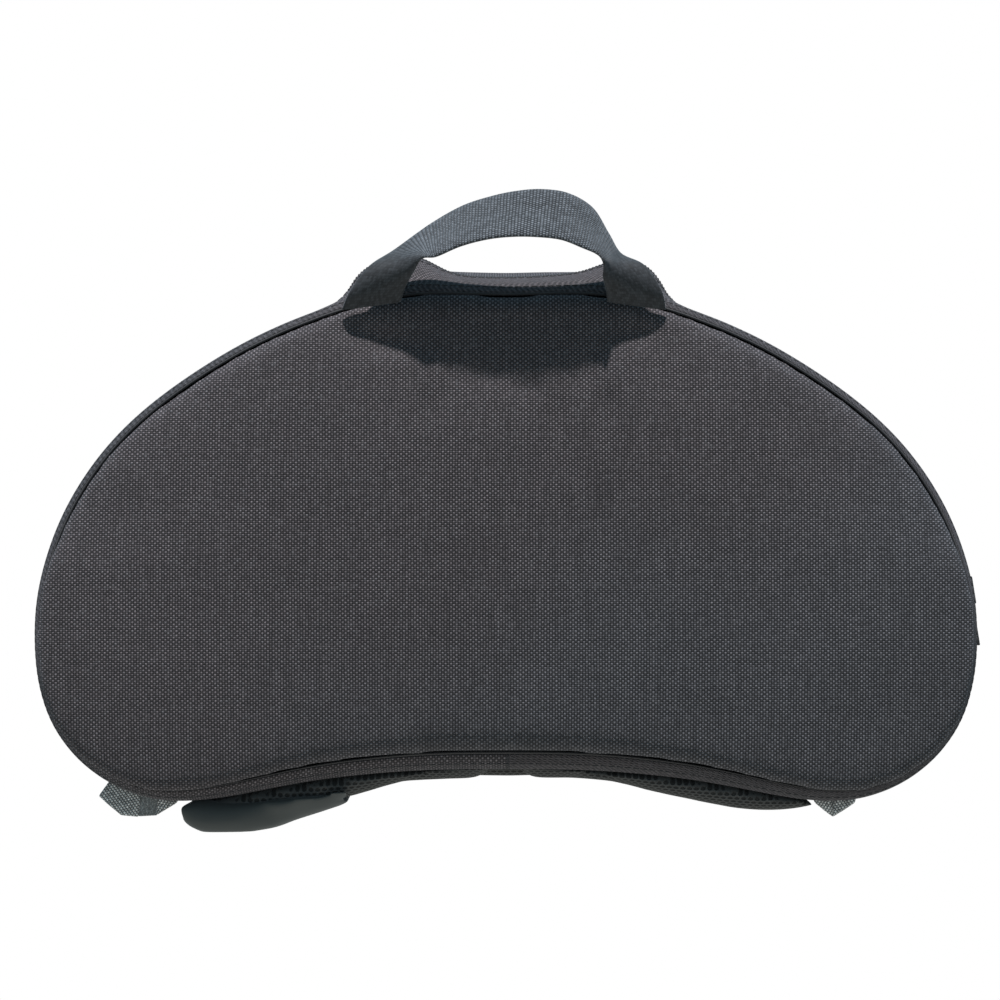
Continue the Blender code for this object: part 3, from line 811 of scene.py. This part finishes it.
def cleanCopy(node, name):
    bm = bmesh.new()
    bm.from_mesh(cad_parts[node].data)
    bmesh.ops.remove_doubles(bm, verts=bm.verts, dist=0.00005)
    return finishMesh(name, bm, fixNormals=True)


def fatten(piece, reach):
    for vert in piece.data.vertices:
        vert.co += vert.normal * reach
    piece.data.update()


def remesh(piece, voxel):
    addModifier(piece, "REMESH", mode="VOXEL", voxel_size=voxel, adaptivity=0.0)
    applyModifiers(piece)


def relax(piece, times, factor=0.5):
    bm = bmesh.new()
    bm.from_mesh(piece.data)
    for _ in range(times):
        bmesh.ops.smooth_vert(bm, verts=bm.verts, factor=factor,
                              use_axis_x=True, use_axis_y=True, use_axis_z=True)
    bm.to_mesh(piece.data)
    bm.free()
    piece.data.update()


def uvFromAbove(piece):
    # the weave follows x and y, as on cloth laid over the top
    bm = bmesh.new()
    bm.from_mesh(piece.data)
    layer = bm.loops.layers.uv.new("clothUV")
    for face in bm.faces:
        for loop in face.loops:
            loop[layer].uv = (loop.vert.co.x, loop.vert.co.y)
    bm.to_mesh(piece.data)
    bm.free()


pocket = {"voxel": 0.0014, "fatten": 0.0006}


def makePocket(cloth):
    piece = cleanCopy("front_pocket", "frontPocketCloth")
    fatten(piece, pocket["fatten"])
    remesh(piece, pocket["voxel"])
    relax(piece, 6)
    uvFromAbove(piece)
    piece.data.shade_smooth()
    return settle(piece, cloth, "pack_cloth", "front_pocket")


# the handle

handle = {
    "width": 0.025,
    "thick": 0.0018,
    "rise": 0.0300,
    "lean": 0.010,
    "reach": 0.066,
    "steps": 260,
    "paintedShadeReach": 0.034,             # from each root, where the ribs are pulled flat and the colour is darkened as painted shade
    "crease": 0.0006,
    # x as a share of reach, y of lean, z of rise over the seam's top, then the width's way and its share
    "route": (
        (-0.770, -0.560, -0.185, -0.98, 0.04, -0.13, 0.90),
        (-0.735, -0.940, -0.010, -0.98, 0.06, -0.06, 0.84),
        (-0.655, -1.200, 0.245, -0.86, 0.44, 0.12, 0.78),
        (-0.560, -1.010, 0.440, -0.45, 0.84, 0.20, 0.96),
        (-0.415, -0.930, 0.620, -0.10, 0.80, 0.56, 0.99),
        (-0.255, -1.110, 0.790, 0.02, 0.72, 0.68, 0.98),
        (-0.100, -1.310, 0.884, 0.05, 0.69, 0.72, 0.98),
        (0.045, -1.420, 0.931, 0.06, 0.65, 0.76, 0.98),
        (0.190, -1.450, 0.940, 0.08, 0.63, 0.78, 1.00),
        (0.335, -1.360, 0.900, 0.12, 0.65, 0.77, 1.00),
        (0.465, -1.120, 0.768, 0.17, 0.72, 0.67, 1.00),
        (0.555, -0.930, 0.570, 0.19, 0.88, 0.40, 0.99),
        (0.606, -0.960, 0.392, 0.30, 0.91, 0.22, 0.98),
        (0.670, -1.150, 0.225, 0.82, 0.48, 0.26, 0.76),
        (0.728, -0.930, -0.010, 0.99, 0.08, 0.02, 0.84),
        (0.748, -0.560, -0.185, 0.98, 0.04, -0.13, 0.90),
    ),
    "profile": (-0.5, -0.47, -0.36, -0.24, -0.12, 0.0, 0.12, 0.24, 0.36, 0.47, 0.5),
    "colour": (0.067, 0.076, 0.086),
    "ribPitch": 0.0012,
    "dotPitch": 0.00105,
}


def curveThrough(points, steps):
    # an even smooth line through points of any number of columns
    pts = np.vstack([2 * points[0] - points[1], points, 2 * points[-1] - points[-2]])
    fine = []
    for i in range(1, len(pts) - 2):
        p0, p1, p2, p3 = pts[i - 1:i + 3]
        for t in np.linspace(0, 1, 24, endpoint=False):
            fine.append(0.5 * (2 * p1 + (p2 - p0) * t + (2 * p0 - 5 * p1 + 4 * p2 - p3) * t ** 2
                               + (3 * p1 - p0 - 3 * p2 + p3) * t ** 3))
    fine.append(pts[-2])
    fine = np.array(fine)
    along = np.concatenate([[0], np.cumsum(np.linalg.norm(np.diff(fine[:, :3], axis=0), axis=1))])
    marks = np.linspace(0, along[-1], steps)
    return np.column_stack([np.interp(marks, along, fine[:, k]) for k in range(fine.shape[1])]), along[-1]


def webbingFinish(name, ribPitch, dotPitch, colour, turned=0.0, paintedShadeReach=0.0, length=1.0):
    # how far from each end the ribs are pulled flat and the colour is darkened: painted shade for the shadow
    # the handle's legs lie in
    material, tree, shader = newFinish(name, 0.7, 0.3, 0.25, 0.4, (0.85, 0.92, 1.0))
    place, u, v, _ = splitPlace(tree, True)
    wave = noiseAt(tree, place, 160.0, 2.0)
    if turned:
        c, s = math.cos(math.radians(turned)), math.sin(math.radians(turned))
        u, v = u * c + v * s, v * c - u * s
    along = u
    u = u / ribPitch + (wave - 0.5) * 0.22
    v = v / dotPitch + (wave - 0.5) * 0.12
    column = u.floor()
    shifted = v + column.mod(2.0) * 0.5
    fu, fv = (u.fract() - 0.5) * math.pi, (shifted.fract() - 0.5) * math.pi
    height = (fu.cos() ** 0.8) * (fv.cos() * 0.80 + 0.20)
    grain = addNode(tree, "TexWhiteNoise", {"noise_dimensions": "2D"},
                    {"Vector": joinPlace(tree, column + 0.5, shifted.floor() + 0.5)})
    broad = noiseAt(tree, place, 45.0, 3.0)
    if paintedShadeReach:
        # painted shade: near each end the weave is flattened and its colour darkened, standing in for the
        # shadow on the legs
        ends = along.least(length - along).band(paintedShadeReach * 0.6, paintedShadeReach)
        height = height * (0.06 + 0.94 * ends) + (1 - ends) * 0.12
    level = (height * 2.0 + 0.08) * (0.62 + grain * 0.72) * (0.80 + broad * 0.4)
    plug(tree, shader.inputs["Base Color"], scaleColour(tree, colour, level))
    plug(tree, shader.inputs["Roughness"], 0.78 - height * 0.18)
    raiseBump(tree, shader, height, 0.9, 0.00045)
    return material


def handlePath():
    rows = np.array(handle["route"])
    centre = np.column_stack([rows[:, 0] * handle["reach"] + packMiddle, rows[:, 1] * handle["lean"] + seamY,
                              rows[:, 2] * handle["rise"] + seamHigh])
    width = rows[:, 3:6] / np.linalg.norm(rows[:, 3:6], axis=1)[:, None] * rows[:, 6:7] * handle["width"]
    return curveThrough(np.hstack([centre, width]), handle["steps"])


def makeHandle(webbing, path, length):
    middle, across = path[:, :3], path[:, 3:]
    normal = np.cross(np.gradient(middle, axis=0), across)
    normal /= np.linalg.norm(normal, axis=1)[:, None]
    bm = bmesh.new()
    layer = bm.loops.layers.uv.new("clothUV")
    marks = {}
    before = None
    for i, (m, w, n) in enumerate(zip(middle, across, normal)):
        row = []
        crown = math.sin(math.pi * i / (len(middle) - 1)) ** 0.5
        for side in (1, -1):
            for share in handle["profile"] if side > 0 else handle["profile"][::-1]:
                edge = 1.0 - max(0.0, (abs(share) - 0.44) / 0.06) * 0.55
                dip = math.exp(-((share - 0.06) / 0.07) ** 2) * handle["crease"] * crown
                place = m + w * share + n * (side * handle["thick"] / 2 * edge - dip)
                vert = bm.verts.new(place)
                marks[vert] = (length * i / (len(middle) - 1), share * handle["width"])
                row.append(vert)
        ring = [bm.edges.new((row[k], row[(k + 1) % len(row)])) for k in range(len(row))]
        if before:
            bmesh.ops.bridge_loops(bm, edges=before + ring)
        else:
            first = ring
        before = ring
    bmesh.ops.holes_fill(bm, edges=first + before, sides=0)
    for face in bm.faces:
        for loop in face.loops:
            loop[layer].uv = marks[loop.vert]
    piece = finishMesh("handleWebbing", bm, fixNormals=True)
    return settle(piece, webbing, "webbing", "handle")


# what is under the waist: mesh pads, belt wings and tabs

under = {
    "voxel": 0.0023,
    "pressure": 4.0,
    "cap": 0.0015,
    "lift": 0.0036,
    "liftReach": 0.022,
    "meshColour": (0.042, 0.044, 0.044),
    "beltColour": (0.040, 0.048, 0.048),
}


def meshFinish():
    material, tree, shader = newFinish("spacerMesh", 0.8, 0.3, 0.1)
    place, x, y, z = splitPlace(tree, False)
    u, v = x / 0.0026, (y - z) / 0.0020
    shifted = u + v.floor().mod(2.0) * 0.5
    fu, fv = (shifted.fract() - 0.5) * 2, (v.fract() - 0.5) * 2
    hole = (fu * fu + fv * fv).band(0.25, 0.75)
    strand = noiseAt(tree, place, 600.0, 2.0)
    level = (hole * 1.1 + 0.34) * (0.7 + strand * 0.6)
    plug(tree, shader.inputs["Base Color"], scaleColour(tree, under["meshColour"], level))
    raiseBump(tree, shader, hole, 1.0, 0.0007)
    return material


def beltFinish():
    material, tree, shader = newFinish("beltCloth", 0.62, 0.35, 0.2)
    place = splitPlace(tree, False)[0]
    fine = noiseAt(tree, place, 1500.0, 2.0)
    broad = noiseAt(tree, place, 30.0, 3.0)
    level = 0.8 + fine * 0.25 + broad * 0.2
    plug(tree, shader.inputs["Base Color"], scaleColour(tree, under["beltColour"], level))
    plug(tree, shader.inputs["Roughness"], 0.55 + fine * 0.2)
    raiseBump(tree, shader, fine, 0.3, 0.0001)
    return material


def liftCorner(piece):
    # the left wing's outer corner is held up against the body
    low = min(vert.co.x for vert in piece.data.vertices)
    for vert in piece.data.vertices:
        share = 1 - ease(vert.co.x, low, low + under["liftReach"])
        share *= ease(vert.co.z, 0.004, 0.012)
        vert.co.z += under["lift"] * share
        vert.co.x -= under["lift"] * 0.5 * share
    piece.data.update()


def makeSoftPad(node, name, material, slot, thicken=0.0):
    piece = cleanCopy(node, name)
    fatten(piece, thicken)
    remesh(piece, under["voxel"])
    relax(piece, 3)
    inflate(piece, under["pressure"], under["cap"])
    if name == "beltWing_left":
        liftCorner(piece)
    relax(piece, 3)
    subdivide(piece)
    settle(piece, material, slot, node)
    return piece


# flat pieces drawn by where they show in the photo

def fromPhoto(px, py, depth):
    scale = camera["pixel"] * (camera["distance"] + depth) / camera["distance"]
    middle = camera["picture"] / 2
    return packMiddle + camera["aside"] + (px - middle) * scale, camera["height"] - (py - middle) * scale


def makePlate(name, corners, depth, thick, material, slot="webbing"):
    bm = bmesh.new()
    verts = []
    for px, py in corners:
        x, z = fromPhoto(px, py, depth)
        verts.append(bm.verts.new((x, seamY + depth, z)))
    face = bm.faces.new(verts)
    made = bmesh.ops.extrude_face_region(bm, geom=[face])
    moved = [g for g in made["geom"] if isinstance(g, bmesh.types.BMVert)]
    bmesh.ops.translate(bm, verts=moved, vec=(0, thick, 0))
    bmesh.ops.recalc_face_normals(bm, faces=bm.faces)
    bmesh.ops.bevel(bm, geom=bm.edges[:], offset=thick * 0.35, segments=3, profile=0.5,
                    affect="EDGES", material=-1)
    layer = bm.loops.layers.uv.new("clothUV")
    for face in bm.faces:
        for loop in face.loops:
            loop[layer].uv = (loop.vert.co.x, loop.vert.co.z)
    piece = finishMesh(name, bm)
    return settle(piece, material, slot)


# the strip of mesh that joins the two pads across the waist

bridge = {
    "depth": 0.022,            # behind the lid's seam
    "thick": 0.012,
    "voxel": 0.0014,
    "top": ((425, 764), (450, 758), (500, 757), (550, 757), (590, 760), (612, 765)),
    "low": ((602, 771), (575, 773.5), (545, 776.5), (510, 777.5), (470, 777), (446, 774), (432, 770)),
}


def makePadBridge(meshCloth):
    corners = bridge["top"] + bridge["low"]
    piece = makePlate("lumbarBridgeMesh", corners, bridge["depth"], bridge["thick"], meshCloth, "pad_mesh")
    remesh(piece, bridge["voxel"])
    relax(piece, 4)
    subdivide(piece)
    return piece


# webbing tabs at the two lobes, placed by where they show in the photo

tabs = {
    "depth": 0.014,            # behind the lid's seam
    "thick": 0.0016,
    # outlines in the photo's pixels
    "left": ((112, 777), (98.5, 796), (107, 804), (121, 815.5), (138.5, 817), (140, 800), (139, 782)),
    "leftInsert": ((138, 784), (138.5, 816.5), (157, 815.5), (158, 785)),
    "leftEnd": ((156, 787), (157, 815), (166, 809.5), (176, 803.5), (182, 795), (180, 787)),
    "right": ((808, 785), (815, 803), (826, 812), (833, 817), (843, 811), (855, 803), (861, 782)),
    "rightFold": ((832, 785), (834, 815.5), (846, 808), (855, 802), (861, 782)),
    # painted light: the tabs are the pack's black webbing, and both colours are lifted to pale greys to
    # stand in for the light that makes them look bright
    "colour": (0.34, 0.355, 0.355),
    "dark": (0.24, 0.26, 0.265),
    "ribPitch": 0.0011,
    "dotPitch": 0.0010,
    "finePitch": 0.0005,
    "ribbedTurn": 38.0,        # degrees
    "foldedTurn": -35.0,
    "step": 0.0004,            # how much farther back each next piece lies
}


def makeTabs(ribbed, folded, plain):
    deep, thick = tabs["depth"], tabs["thick"]
    left = makePlate("tabLeftWebbing", tabs["left"], deep, thick, ribbed)
    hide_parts("tab_left")
    makePlate("tabLeftInsert", tabs["leftInsert"], deep + tabs["step"], thick * 0.8, plain)
    makePlate("tabLeftEnd", tabs["leftEnd"], deep + 2 * tabs["step"], thick * 0.8, folded)
    right = makePlate("tabRightWebbing", tabs["right"], deep, thick, folded)
    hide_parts("tab_right")
    makePlate("tabRightFold", tabs["rightFold"], deep - thick, thick * 0.8, ribbed)


# thread: stitch rows on the skirt and the wall

thread = {
    "long": 0.0023,
    "pitch": 0.0031,
    "wide": 0.00055,
    "sink": 0.00010,
    "colour": (0.022, 0.022, 0.024),
    "rows": (("lid_skirt", 0.0030), ("lid_skirt", 0.0215), ("body_wall", 0.0028), ("body_wall", 0.1300)),
}


def threadFinish():
    material, tree, shader = newFinish("sewingThread", 0.6, 0.35, 0.2)
    place = splitPlace(tree, False)[0]
    twist = noiseAt(tree, place, 2500.0, 1.0)
    plug(tree, shader.inputs["Base Color"], scaleColour(tree, thread["colour"], 0.7 + twist * 0.7))
    return material


def makeStitches(material):
    stitch = bmesh.new()
    bmesh.ops.create_cube(stitch, size=1.0)
    bmesh.ops.scale(stitch, verts=stitch.verts, vec=(thread["long"], thread["wide"], thread["wide"]))
    bmesh.ops.bevel(stitch, geom=stitch.edges[:], offset=thread["wide"] * 0.3, segments=1, profile=0.5,
                    affect="EDGES", material=-1)
    pattern = bpy.data.meshes.new("stitch")
    stitch.to_mesh(pattern)
    stitch.free()
    bm = bmesh.new()
    for node, deep in thread["rows"]:
        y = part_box(node)[0].y + deep
        ring, length = sectionRing(nodeTree(node), y, 900)
        ring, _ = evenRing(ring, int(length / thread["pitch"]))
        for i, place in enumerate(ring):
            step = ring[(i + 1) % len(ring)] - ring[i - 1]
            along = Vector((step[0], 0, step[1])).normalized()
            up = Vector((-along.z, 0, along.x))
            if up.dot(Vector((place[0] - ringCentre.x, 0, place[1] - ringCentre.y))) < 0:
                up = -up
            spot = Vector((place[0], y, place[1])) + up * (thread["wide"] / 2 - thread["sink"])
            side = up.cross(along)
            first = len(bm.verts)
            bm.from_mesh(pattern)
            bm.verts.ensure_lookup_table()
            for vert in bm.verts[first:]:
                x, w, z = vert.co
                droop = (x / thread["long"]) ** 2 * thread["wide"] * 1.2
                vert.co = spot + along * x + side * w + up * (z - droop)
    piece = finishMesh("seamStitches", bm, fixNormals=True)
    return settle(piece, material, "pack_cloth")


piping = {"sides": 10, "points": 640, "baseRadius": 0.0016, "seamRadius": 0.00055, "seamTuck": 0.0007}


def makePiping(name, node, y, radius, tuck, cloth):
    ring, length = sectionRing(nodeTree(node), y, piping["points"])
    rings = []
    for k in range(piping["sides"] + 1):
        # a third of a step round, so that no two rings lie in one plane and bridge the wrong way
        turn = 2 * math.pi * (k + 0.3) / piping["sides"]
        rings.append((tuckIn(ring, tuck - radius * math.cos(turn)), y + radius * math.sin(turn)))
    bm = loftRings(rings)
    uvFromLayers(bm, length)
    bmesh.ops.remove_doubles(bm, verts=bm.verts, dist=0.00002)
    piece = finishMesh(name, bm, fixNormals=True)
    return settle(piece, cloth, "pack_cloth")


def plasticFinish():
    material, tree, shader = newFinish("mouldedPlastic", 0.42, 0.45)
    place = splitPlace(tree, False)[0]
    grain = noiseAt(tree, place, 1200.0, 2.0)
    wear = noiseAt(tree, place, 260.0, 3.0)
    plug(tree, shader.inputs["Base Color"], scaleColour(tree, (0.020, 0.020, 0.021), 0.75 + wear * 0.6))
    plug(tree, shader.inputs["Roughness"], 0.34 + grain * 0.2)
    raiseBump(tree, shader, grain, 0.3, 0.00008)
    return material


placeCamera()
placeLight()
clothOnUV = clothFinish("packClothWrapped", True, packCloth)
clothOnFace = clothFinish("packClothFlat", False, packCloth)
makeSkirt(clothOnUV)
makeLid(clothOnFace)
print("lid made")
makeZip(tapeFinish(), zipFinish())
makeWall(clothOnUV)
makeBase(clothOnFace)
makePocket(clothOnUV)
print("body made")
path, length = handlePath()
ribbed = webbingFinish("handleWebbing", handle["ribPitch"], handle["dotPitch"], handle["colour"],
                       0.0, handle["paintedShadeReach"], float(length))
makeHandle(ribbed, path, length)
meshCloth, beltCloth = meshFinish(), beltFinish()
for side in ("left", "right"):
    makeSoftPad("lumbar_pad_" + side, "lumbarPad_" + side, meshCloth, "pad_mesh", 0.0007)
    makeSoftPad("belt_wing_" + side, "beltWing_" + side, beltCloth, "belt_cloth")
print("underside made")
makeTabs(webbingFinish("tabRibbed", tabs["ribPitch"], tabs["dotPitch"], tabs["colour"], tabs["ribbedTurn"]),
         webbingFinish("tabFolded", tabs["ribPitch"], tabs["dotPitch"], tabs["colour"], tabs["foldedTurn"]),
         webbingFinish("tabPlain", tabs["finePitch"], tabs["finePitch"], tabs["dark"]))
sewn = threadFinish()
makeStitches(sewn)
makePiping("lidSeamCord", "lid_skirt", seamY + 0.0002, piping["seamRadius"], piping["seamTuck"], sewn)
makePiping("basePiping", "base_panel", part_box("base_panel")[0].y + 0.0008, piping["baseRadius"],
           piping["baseRadius"] * 0.4, clothOnUV)
makePadBridge(meshCloth)
plastic = plasticFinish()
for name in ("zip_slider", "zip_pull"):
    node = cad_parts[name]
    node.data.materials.clear()
    node.data.materials.append(plastic)
print("trim made")
